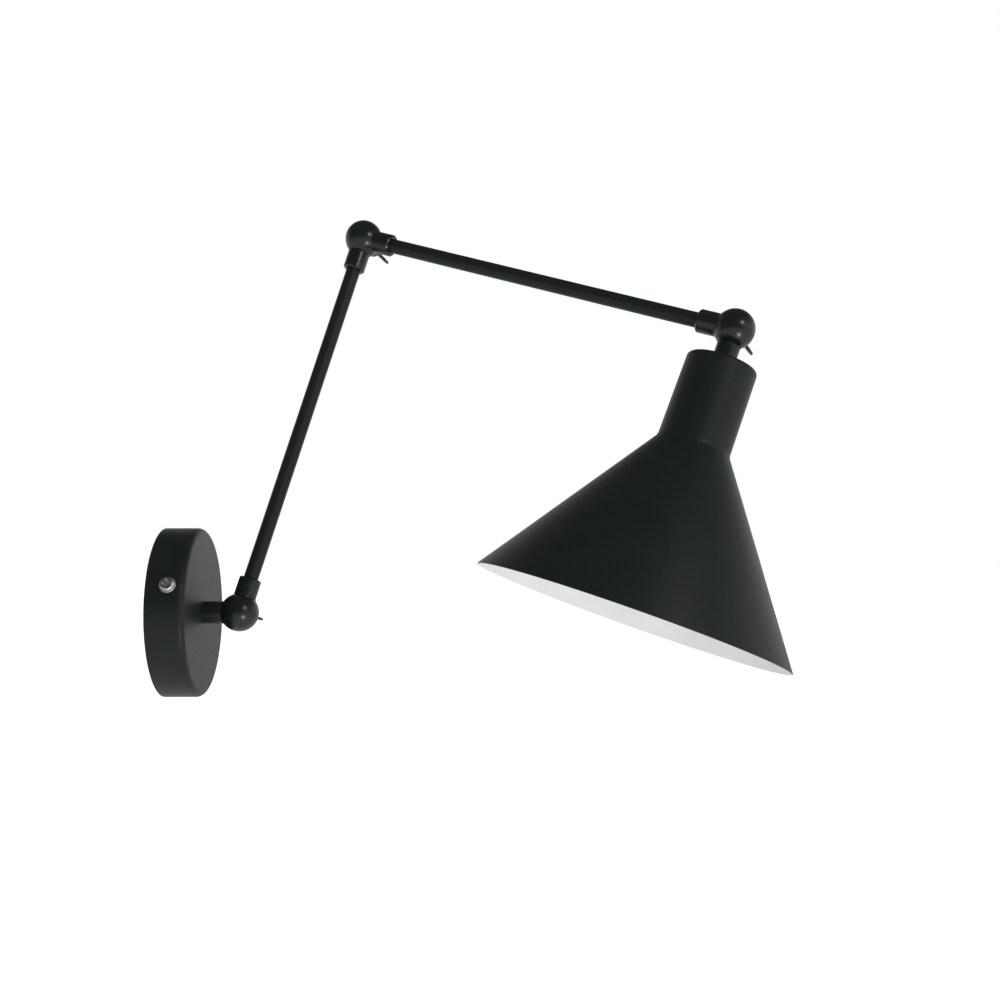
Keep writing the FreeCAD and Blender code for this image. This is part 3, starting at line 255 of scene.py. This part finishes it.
phenolic = moulded("black_phenolic", (0.012, 0.011, 0.010), (0.018, 0.016, 0.014), 0.20, 0.32)
porcelain = moulded("porcelain", (0.80, 0.78, 0.72), (0.74, 0.72, 0.66), 0.10, 0.18, 300, 0.2)
nylon = moulded("white_nylon", (0.78, 0.78, 0.74), (0.70, 0.70, 0.66), 0.38, 0.50)
fibre = moulded("red_fibre", (0.30, 0.07, 0.04), (0.20, 0.05, 0.03), 0.60, 0.80, 1400, 0.8)
brown_skin = moulded("brown_insulation", (0.16, 0.06, 0.03), (0.13, 0.05, 0.02), 0.42, 0.52)
blue_skin = moulded("blue_insulation", (0.03, 0.10, 0.42), (0.02, 0.08, 0.36), 0.42, 0.52)
earth_skin = moulded("earth_insulation", (0.12, 0.30, 0.05), (0.60, 0.52, 0.04), 0.42, 0.52)

# %% Give every measured piece its finish
SLOT_FINISHES = {
    "black_paint": cast_enamel,
    "shade_paint": black_enamel,
    "bright_steel": zinc,
    "plated_strip": galvanised,
    "brass": brass,
    "plated_brass": nickel,
    "block_plastic": nylon,
    "holder_plastic": phenolic,
    "porcelain": porcelain,
    "fibre": fibre,
    "wire_insulation": brown_skin,
    "earth_insulation": earth_skin,
}
node_slots = {row["node"]: row["material_slot"] for row in frame["record"]["subparts"]}
for node, piece in frame["nodes"].items():
    finish = SLOT_FINISHES[node_slots[node]]
    for place in piece.material_slots:
        place.material = finish
for node in ("canopy", "lower_arm_tube", "upper_arm_tube"):
    frame["nodes"][node].material_slots[0].material = black_enamel
print(len(frame["nodes"]), "measured pieces have a finish")

# %% [markdown]
# ## Pieces that are made again
#
# A spun, turned or cast piece is a surface of two numbers: how far along its profile, and how
# far round its axis.  All points are worked out at once as an array, and the faces are the
# cells of that grid.  Where a profile starts or ends on the axis, the ring of points there is
# one place, so it is merged to close the pole.

# %% Grids to meshes
def rounded_path(corners, radii, steps=8):
    """A path through corners in a plane, with an arc of the given radius at each corner.

    An arc touches the two straight runs at radius x tan(half the turn) from the corner.
    """
    corners = np.asarray(corners, float)
    path = [corners[:1]]
    for before, corner, after, radius in zip(corners, corners[1:], corners[2:], radii):
        if not radius:
            path.append(corner[None])
            continue
        back, ahead = unit(before - corner), unit(after - corner)
        opening = math.acos(np.clip(back @ ahead, -1, 1))
        centre = corner + unit(back + ahead) * radius / math.sin(opening / 2)
        first = corner + back * radius / math.tan(opening / 2) - centre
        last = corner + ahead * radius / math.tan(opening / 2) - centre
        turn = math.pi - opening
        share = np.linspace(0, 1, steps)[:, None]
        arc = (np.sin((1 - share) * turn) * first + np.sin(share * turn) * last) / math.sin(turn)
        path.append(centre + arc)
    path.append(corners[-1:])
    return np.vstack(path)


def grid_faces(rows, columns, wrap_rows=False):
    """The four corners of every cell of a grid whose columns go round."""
    row, column = np.meshgrid(np.arange(rows if wrap_rows else rows - 1), np.arange(columns),
                              indexing="ij")
    below, beside = (row + 1) % rows, (column + 1) % columns
    cells = (row * columns + column, row * columns + beside,
             below * columns + beside, below * columns + column)
    return np.stack(cells, -1).reshape(-1, 4)


def spun(profile, columns=96):
    """The points of a profile of (radius, height) turned round Z, rows by columns by three."""
    angle = np.linspace(0, 2 * math.pi, columns, endpoint=False)
    radius, height = np.asarray(profile, float).T
    return np.stack([radius[:, None] * np.cos(angle), radius[:, None] * np.sin(angle),
                     np.broadcast_to(height[:, None], (len(radius), columns))], -1)


def make_piece(name, place, grids, finishes, body, nodes, sharp=40, face_finish=None):
    """One object of one or more grids of millimetres, carried to its place on the lamp.

    Each grid is (points, whether its rows wrap).  Faces are turned outward after merging.
    """
    spots, faces, start = [], [], 0
    for points, wraps in grids:
        faces.append(grid_faces(*points.shape[:2], wraps) + start)
        spots.append(points.reshape(-1, 3))
        start += len(spots[-1])
    spots, faces = np.vstack(spots) * MM, np.vstack(faces)
    spots = spots @ place[:3, :3].T + place[:3, 3]
    mesh = bpy.data.meshes.new(name)
    mesh.from_pydata(spots, [], faces)
    for finish in finishes:
        mesh.materials.append(finish)
    if face_finish is not None:
        mesh.polygons.foreach_set("material_index", np.asarray(face_finish, np.int32))
    close_up(mesh)
    mesh.shade_smooth()
    mesh.set_sharp_from_angle(angle=math.radians(sharp))
    piece = bpy.data.objects.new(name, mesh)
    bpy.context.scene.collection.objects.link(piece)
    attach(piece, body)
    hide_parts(*nodes)
    print(name, "has", len(mesh.polygons), "faces")
    return piece


def close_up(mesh):
    """Merges points that are in one place and turns the faces outward."""
    work = bmesh.new()
    work.from_mesh(mesh)
    bmesh.ops.remove_doubles(work, verts=work.verts, dist=2e-6)
    bmesh.ops.recalc_face_normals(work, faces=work.faces)
    work.to_mesh(mesh)
    work.free()


# %% [markdown]
# The shade is spun from one disc of sheet aluminium: a neck with a soft shoulder, a waist and
# a long cone.  It is black outside and white inside, and the two enamels meet at the rim.  The
# profile runs up the outside and back down the inside, 0.8 mm apart, and the faces of the way
# back get the white.  The rim is a small round, because a sprayed edge is never a knife edge.

# %% The shade
SKIN = 0.8
NECK, WAIST, MOUTH = 39.9 / 2, 41.1 / 2, 178.7 / 2
TOP, NECK_END, MOUTH_END, HOLE = 19.7, 69.2, 169.4, 5.05
SHOULDER_ROUND, WAIST_ROUND, RIM_ROUND = 2.6, 7, 0.35
ARC_POINTS = 14
COLUMNS = 256
slope = (MOUTH - WAIST) / (MOUTH_END - NECK_END)
slant = SKIN * math.hypot(slope, 1)
inner_waist = NECK_END + (slant - SKIN) / slope
outer_corners = [(HOLE, TOP), (NECK, TOP), (WAIST, NECK_END), (MOUTH, MOUTH_END)]
inner_corners = [(MOUTH - slant, MOUTH_END), (WAIST - SKIN, inner_waist),
                 (NECK - SKIN, TOP + SKIN), (HOLE, TOP + SKIN)]
outside = rounded_path(outer_corners, (SHOULDER_ROUND, WAIST_ROUND), ARC_POINTS)
inside = rounded_path(inner_corners, (WAIST_ROUND + SKIN, SHOULDER_ROUND - SKIN), ARC_POINTS)
rim_corners = [outside[-2], outside[-1], inside[0], inside[1]]
rim = rounded_path(rim_corners, (RIM_ROUND, RIM_ROUND), 5)[1:-1]
profile = np.vstack([outside[:-1], rim, inside[1:]])
whites = np.arange(len(profile)) >= len(outside) - 1 + len(rim) // 2
make_piece("shade_spun", shade_place, [(spun(profile, COLUMNS), True)],
           [black_enamel, white_enamel], "shade_head", ["shade"],
           face_finish=np.repeat(whites, COLUMNS))

# %% [markdown]
# The wing nuts are cast: a tapered hub and two ears that sweep up and out, with every edge
# rounded by the mould.  An ear is a blade between two curves, one under it and one over it,
# that meet smoothly at the tip.  Across the blade the section is a flattened ring.

# %% Wing nuts
SEAT = 10.3 + 0.9  # where the nut sits on its washer, from the pivot's centre
EAR_UNDER = [(3.0, 0.8), (8.0, 0.2), (12.6, 11.3), (9.0, 11.4)]
EAR_OVER = [(3.0, 5.2), (4.2, 6.0), (5.2, 11.5), (9.0, 11.4)]
EAR_TURNS = {"lower": 85.0, "elbow": 296.5, "shade": 301.0}
SQUARING = 0.8  # below 1 the rings across an ear are squarer than an ellipse


def curve(points, share):
    """The cubic curve with four control points, at shares from 0 to 1 along it."""
    a, b, c, d = (np.asarray(point, float) for point in points)
    share = share[:, None]
    rest = 1 - share
    return a * rest**3 + 3 * b * rest**2 * share + 3 * c * rest * share**2 + d * share**3


def ear(side):
    """One ear: squarish rings that span the under and over curves and thin towards the tip."""
    share = np.sin(np.linspace(0, math.pi / 2, 40))
    under = curve(EAR_UNDER, share)
    over = curve(EAR_OVER, share)
    around = np.linspace(0, 2 * math.pi, 32, endpoint=False)
    across = np.sign(np.cos(around)) * np.abs(np.cos(around)) ** SQUARING
    thick = np.sign(np.sin(around)) * np.abs(np.sin(around)) ** SQUARING
    middle, half = (under + over) / 2, (over - under) / 2
    flat = middle[:, None] + half[:, None] * across[:, None]
    swell = np.sqrt(np.clip(1 - share**8, 0, 1)) * (1.15 - 0.25 * share)
    return np.stack([flat[..., 0] * side, swell[:, None] * thick, flat[..., 1] + SEAT], -1)


hub_corners = [(2.56, SEAT), (4.5, SEAT), (3.7, SEAT + 6), (2.56, SEAT + 6)]
hub = rounded_path(hub_corners, (0.4, 0.9), 6)
for word, degrees in EAR_TURNS.items():
    turn = math.radians(degrees)
    spin = np.eye(4)
    spin[:2, :2] = [[math.cos(turn), -math.sin(turn)], [math.sin(turn), math.cos(turn)]]
    make_piece("wing_nut_cast_" + word, knuckle_places[word] @ spin,
               [(spun(hub, 64), True), (ear(1), False), (ear(-1), False)], [cast_enamel],
               word + "_wing_nut", ["wing_nut_" + word], sharp=50)

# %% [markdown]
# A pan-head screw is headed in a die, so its rim is round and its top is flat.  The cross
# recess is pressed in: its depth is a smooth step of how near a point is to the cross's arms,
# taken off the height of the top.  The washer under it is stamped, and rounder on one edge.

# %% Canopy screws and washers
RIM, UNDER_HEAD = 50.0, 50.8  # the canopy's radius, and that with the washer
SCREW_LEVEL = 12.6  # from the wall
SHANK, HEAD, HEAD_FLAT = 2.0, 4.1, 2.9
SCREW_TIP, HEAD_TOP = UNDER_HEAD - 7, UNDER_HEAD + 2.4
RECESS_DEEP = 1.5


def smooth_step(value):
    """Goes from 0 to 1 as the value does, flat at both ends."""
    value = np.clip(value, 0, 1)
    return value * value * (3 - 2 * value)


def pan_screw():
    """A screw along Z: shank, head and a flat top with a cross recess in it."""
    corners = [(0, SCREW_TIP), (SHANK, SCREW_TIP), (SHANK, UNDER_HEAD), (HEAD, UNDER_HEAD),
               (HEAD, HEAD_TOP), (HEAD_FLAT, HEAD_TOP)]
    side = rounded_path(corners, (0.4, 0, 0.2, 1.2), 8)[:-1]
    inward = np.linspace(side[-1, 0], 0, 44)[1:]
    top = np.stack([inward, np.full_like(inward, side[-1, 1])], -1)
    points = spun(np.vstack([side, top]), 160)
    x, y = points[len(side):, :, 0], points[len(side):, :, 1]
    near, far = np.minimum(np.abs(x), np.abs(y)), np.maximum(np.abs(x), np.abs(y))
    arm = smooth_step((0.70 - near) / 0.25) * smooth_step((2.4 - far) / 0.5)
    points[len(side):, :, 2] -= RECESS_DEEP * arm
    return points


screw_points = pan_screw()
washer_corners = [(2.25, RIM), (4.7, RIM), (4.7, UNDER_HEAD), (2.25, UNDER_HEAD)]
washer = rounded_path(washer_corners, (0.15, 0.3), 5)
for word, way in (("near", 1), ("far", -1)):
    side_place = wall_place @ place_at((0, 0, SCREW_LEVEL * MM), (0, 0, -way), (way, 0, 0))
    make_piece("pan_screw_" + word, side_place, [(screw_points, False)], [zinc], "wall_base",
               ["canopy_screws"])
    make_piece("screw_washer_" + word, side_place, [(spun(washer, 96), True)], [zinc],
               "wall_base", ["canopy_screw_washers"])

# %% [markdown]
# The shell that takes the bulb's cap is rolled from thin brass sheet, so its thread is a wave
# that runs round and down it: the radius swings by half a millimetre, once in 3.6 mm.  The
# swing dies out at both ends, where the shell is a plain ring again.

# %% Threaded shell and skirt of the lampholder
CORE_LOW = 55.7  # the lower face of the porcelain core, where the shell stands
PITCH, SWING = 3.6, 0.5
SHELL_BORE, SHELL_OUTSIDE, SHELL_SKIN = 13.3, 13.68, 0.4
SHELL_START, SHELL_END = CORE_LOW + 3.2, CORE_LOW + 22
FOOT_HOLE, FOOT = 5.2, 10.5


def rolled_shell():
    """Radius = bore + wave, the wave being a cosine of turn minus height over the pitch."""
    height = np.linspace(SHELL_START, SHELL_END, 120)[:, None]
    angle = np.linspace(0, 2 * math.pi, 128, endpoint=False)[None, :]
    fade = smooth_step((height - height[0]) / 2.5) * smooth_step((height[-1] - height) / 2.0)
    swing = -SWING * fade * (0.5 + 0.5 * np.cos(angle - 2 * math.pi * height / PITCH))
    walls = []
    for radius in (SHELL_BORE, SHELL_OUTSIDE):
        reach = radius + swing
        wall = [reach * np.cos(angle), reach * np.sin(angle), height + 0 * angle]
        walls.append(np.stack(wall, -1))
    foot_in = spun([(FOOT_HOLE, CORE_LOW + SHELL_SKIN), (FOOT, CORE_LOW + SHELL_SKIN)], 128)
    foot_out = spun([(FOOT, CORE_LOW), (FOOT_HOLE, CORE_LOW)], 128)
    return np.vstack([foot_in, walls[0], walls[1][::-1], foot_out])


make_piece("screw_shell_rolled", shade_place, [(rolled_shell(), True)], [nickel], "shade_head",
           ["screw_shell"])
skirt_corners = [(18.0, 47.2), (18.8, 47.2), (18.8, 53.0), (18.3, 53.6), (18.3, 54.6),
                 (18.8, 55.2), (18.8, 79.7), (17.3, 81.2), (14.5, 81.2), (13.72, 80.4),
                 (13.72, CORE_LOW), (18.0, CORE_LOW)]
skirt_rounds = (0.2, 0.4, 0.3, 0.3, 0.4, 1.2, 1.2, 0.6, 0.4, 0, 0)
skirt = rounded_path(skirt_corners, skirt_rounds, 6)
make_piece("holder_skirt_moulded", shade_place, [(spun(skirt, 160), True)], [phenolic],
           "shade_head", ["lampholder_skirt"])

# %% [markdown]
# The nut that clamps the shade is cut from hexagon bar and its corners are turned off at 30
# degrees, which leaves the curved edges that one knows from any nut.  The hexagon is a radius
# that depends on the angle, and near each end the radius may not pass a cone.

# %% Hexagon nut
CONE_RISE = 1.732  # the cone's growth of radius with height, from 30 degrees
NUT_CHAMFER, BORE_CHAMFER = 0.8, 0.3


def hexagon_nut(low, high, flats=14.0, bore=5.02):
    """Radius = the smaller of the hexagon's at that angle and a cone's at that height."""
    angle = np.linspace(0, 2 * math.pi, 192, endpoint=False)[None, :]
    from_flat = (angle + math.pi / 6) % (math.pi / 3) - math.pi / 6
    hexagon = flats / 2 / np.cos(from_flat)
    ends = [np.linspace(low, low + NUT_CHAMFER, 10), np.linspace(high - NUT_CHAMFER, high, 10)]
    height = np.concatenate(ends)[:, None]
    nearest = np.minimum(height - low, high - height)
    reach = np.minimum(hexagon, flats / 2 * 0.985 + nearest * CONE_RISE)
    side = np.stack([reach * np.cos(angle), reach * np.sin(angle), height + 0 * angle], -1)
    lower = spun([(bore, low + BORE_CHAMFER), (bore + BORE_CHAMFER, low)], 192)
    upper = spun([(bore + BORE_CHAMFER, high), (bore, high - BORE_CHAMFER)], 192)
    return np.vstack([lower, side, upper])


NUT_LOW, NUT_HIGH = 21.5, 24.5
make_piece("shade_nut_cut", shade_place, [(hexagon_nut(NUT_LOW, NUT_HIGH), True)], [zinc],
           "shade_head", ["shade_lock_nut"], sharp=25)

# %% [markdown]
# The two wires are brown and blue.  Each measured stretch holds both, so its copy is split by
# which points hang together: every point takes the lowest number among its neighbours until
# nothing changes, and the wire with the higher number becomes the blue one.

# %% Brown and blue wires
def copy_of(node, name):
    """A merged copy of a measured piece's mesh, as an object of its own."""
    mesh = frame["nodes"][node].data.copy()
    mesh.name = name
    mesh.transform(frame["nodes"][node].matrix_world)
    close_up(mesh)
    piece = bpy.data.objects.new(name, mesh)
    bpy.context.scene.collection.objects.link(piece)
    return piece


def part_numbers(mesh):
    """For each point, the lowest point number of the part that it belongs to."""
    ends = np.empty(len(mesh.edges) * 2, np.int32)
    mesh.edges.foreach_get("vertices", ends)
    first, second = ends.reshape(-1, 2).T
    number = np.arange(len(mesh.vertices))
    while True:
        lower = np.minimum(number[first], number[second])
        new = number.copy()
        np.minimum.at(new, first, lower)
        np.minimum.at(new, second, lower)
        new = new[new]
        if np.array_equal(new, number):
            return number
        number = new


STRETCHES = {
    "wall": "wall_base",
    "stub": "wall_stub",
    "lower_arm": "lower_arm",
    "upper_arm": "upper_arm",
    "shade": "shade_head",
}
for stretch, body in STRETCHES.items():
    pair = copy_of("wires_" + stretch, "wire_pair_" + stretch)
    mesh = pair.data
    mesh.materials.clear()
    mesh.materials.append(brown_skin)
    mesh.materials.append(blue_skin)
    number = part_numbers(mesh)
    corner_points = np.empty(len(mesh.loops), np.int32)
    mesh.loops.foreach_get("vertex_index", corner_points)
    starts = np.empty(len(mesh.polygons), np.int32)
    mesh.polygons.foreach_get("loop_start", starts)
    part = number[corner_points[starts]]
    mesh.polygons.foreach_set("material_index", (part > part.min()).astype(np.int32))
    mesh.shade_smooth()
    mesh.set_sharp_from_angle(angle=math.radians(50))
    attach(pair, body)
    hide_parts("wires_" + stretch)
    print(pair.name, "is", len(np.unique(part)), "wires")

# %% [markdown]
# Moulded and stamped pieces have no sharp edges.  For the terminal block and the bracket a copy
# with a small bevel on every hard edge is enough, since only those edges differ.

# %% Softened edges
EDGE_WIDTHS = {"terminal_block": 0.35, "mounting_bracket": 0.25}
for node, width in EDGE_WIDTHS.items():
    piece = copy_of(node, node + "_softened")
    piece.data.materials.clear()
    piece.data.materials.append(SLOT_FINISHES[node_slots[node]])
    bevel = piece.modifiers.new("soft_edges", "BEVEL")
    bevel.width = width * MM
    bevel.segments = 3
    bevel.limit_method = "ANGLE"
    bevel.angle_limit = math.radians(40)
    piece.data.shade_smooth()
    piece.data.set_sharp_from_angle(angle=math.radians(40))
    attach(piece, "wall_base")
    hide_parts(node)
    print(piece.name, "has soft edges")

# %% [markdown]
# ## Camera
#
# The camera was found by matching the pivots, the canopy and the shade's mouth in the
# photograph.  It looks along +Y from three quarters of a metre away, level.

# %% Camera
CAMERA_SPOT = (0.19984, -0.73945, 0.03575)
FOCAL_PIXELS = 1244.57
CENTRE_PIXEL = (503.85, 552.16)
PICTURE = 1000
SENSOR = 36.0

camera_data = bpy.data.cameras.new("camera")
camera_data.sensor_width = SENSOR
camera_data.lens = FOCAL_PIXELS * SENSOR / PICTURE
camera_data.shift_x = (PICTURE / 2 - CENTRE_PIXEL[0]) / PICTURE
camera_data.shift_y = (CENTRE_PIXEL[1] - PICTURE / 2) / PICTURE
camera_data.clip_start = 0.01
camera = bpy.data.objects.new("camera", camera_data)
camera.location = CAMERA_SPOT
camera.rotation_euler = (math.pi / 2, 0, 0)
bpy.context.scene.collection.objects.link(camera)
bpy.context.scene.camera = camera

# %% [markdown]
# ## Light, backdrop and floor
#
# A product photographer hangs such a lamp in front of a white sweep in a dark room.  The
# world does the same: any ray that leaves the picture finds plain white, soft light of even
# strength falls on the object, and a reflection finds white behind the lamp but only a dim
# room above it and on the camera's side.  That is why black paint can look black in front
# and still flare up along its edges.  Two small soft boxes give the glints on the balls, and a
# large one overhead lights the tops but isn't mirrored.

# %% World
world = bpy.data.worlds.new("studio")
bpy.context.scene.world = world
world.use_nodes = True
world.cycles.sampling_method = "NONE"
sky = world.node_tree.nodes
sky_links = world.node_tree.links


def sky_math(operation, first, second):
    """One sum on sockets or numbers, for the world's strength."""
    node = sky.new("ShaderNodeMath")
    node.operation = operation
    for place, value in enumerate((first, second)):
        if isinstance(value, (int, float)):
            node.inputs[place].default_value = value
        else:
            sky_links.new(value, node.inputs[place])
    return node.outputs[0]


def sky_ramp(value, start, end, low, high):
    """Numbers from low to high, smoothly, as a direction's part goes from start to end."""
    node = sky.new("ShaderNodeMapRange")
    node.interpolation_type = "SMOOTHSTEP"
    node.inputs["From Min"].default_value = start
    node.inputs["From Max"].default_value = end
    node.inputs["To Min"].default_value = low
    node.inputs["To Max"].default_value = high
    sky_links.new(value, node.inputs["Value"])
    return node.outputs["Result"]


DIFFUSE_LEVEL = 0.80
ROOM_LEVEL = 0.03
way = sky.new("ShaderNodeTexCoord").outputs["Generated"]
split = sky.new("ShaderNodeSeparateXYZ")
sky_links.new(way, split.inputs[0])
behind = sky_ramp(split.outputs["Y"], -0.35, 0.85, 0, 1)
aside = sky_ramp(split.outputs["X"], 0.35, 1.0, 0, 0.9)
above = sky_ramp(split.outputs["Z"], 0.05, 0.75, 1, 0.10)
mirrored = sky_math("MAXIMUM", behind, aside)
mirrored = sky_math("MULTIPLY", mirrored, above)
mirrored = sky_math("MAXIMUM", mirrored, ROOM_LEVEL)
ray = sky.new("ShaderNodeLightPath").outputs
strength = sky_math("MULTIPLY", ray["Is Glossy Ray"], mirrored)
strength = sky_math("ADD", strength, sky_math("MULTIPLY", ray["Is Diffuse Ray"], DIFFUSE_LEVEL))
straight = sky_math("MAXIMUM", ray["Is Camera Ray"], ray["Is Transmission Ray"])
strength = sky_math("MAXIMUM", strength, straight)
sky_links.new(strength, sky["Background"].inputs["Strength"])
sky["Background"].inputs["Color"].default_value = (1, 1, 1, 1)

# %% Soft boxes


def lamp(name, towards, distance, width, height, power):
    """A soft box that hangs at a distance in a direction from the lamp's middle."""
    middle = np.array((cad_low + cad_high) / 2)
    spot = middle + unit(towards) * distance
    data = bpy.data.lights.new(name, "AREA")
    data.shape = "RECTANGLE"
    data.size = width
    data.size_y = height
    data.energy = power
    thing = bpy.data.objects.new(name, data)
    back = place_at(spot, np.cross((0, 0, 1), unit(towards)), unit(towards))
    thing.matrix_world = [list(column) for column in back.T]
    thing.visible_camera = False
    bpy.context.scene.collection.objects.link(thing)
    return thing


lamp("right_box", (0.60, -0.66, 0.45), 1.2, 0.05, 0.05, 1.8)
lamp("low_box", (0.40, -0.72, -0.57), 1.0, 0.14, 0.16, 2.6)
top_box = lamp("top_box", (-0.1, -0.2, 1.0), 1.4, 1.4, 1.4, 5)
top_box.visible_glossy = False

# %% Floor
FLOOR_DROP = 0.45
FLOOR_REACH = 30.0
FLOOR_GLOW = 0.60  # seen by the camera alone, so that the floor meets the white backdrop
floor_mesh = bpy.data.meshes.new("floor")
floor_level = cad_low[2] - FLOOR_DROP
corners = np.array([(-1, -1, 0), (1, -1, 0), (1, 1, 0), (-1, 1, 0)]) * FLOOR_REACH
floor_mesh.from_pydata(corners + (0, 0, floor_level), [], [(0, 1, 2, 3)])
floor = bpy.data.objects.new("floor", floor_mesh)
bpy.context.scene.collection.objects.link(floor)
floor_finish, floor_shader, floor_where = new_material("pale_floor")
floor_grain = noise(floor_finish, floor_where, 60, 2.0)
floor_share = spread(floor_finish, floor_grain, 0, 1)
floor_colour = mixed(floor_finish, floor_share, (0.84, 0.84, 0.84), (0.82, 0.82, 0.82))
join(floor_finish, floor_colour, floor_shader.inputs["Base Color"])
floor_shader.inputs["Roughness"].default_value = 0.9
floor_shader.inputs["Emission Color"].default_value = (1, 1, 1, 1)
floor_ray = floor_finish.node_tree.nodes.new("ShaderNodeLightPath").outputs
glow = floor_finish.node_tree.nodes.new("ShaderNodeMath")
glow.operation = "MULTIPLY"
glow.inputs[1].default_value = FLOOR_GLOW
join(floor_finish, floor_ray["Is Camera Ray"], glow.inputs[0])
join(floor_finish, glow.outputs[0], floor_shader.inputs["Emission Strength"])
floor_mesh.materials.append(floor_finish)

# %% View settings
bpy.context.scene.view_settings.view_transform = "Standard"
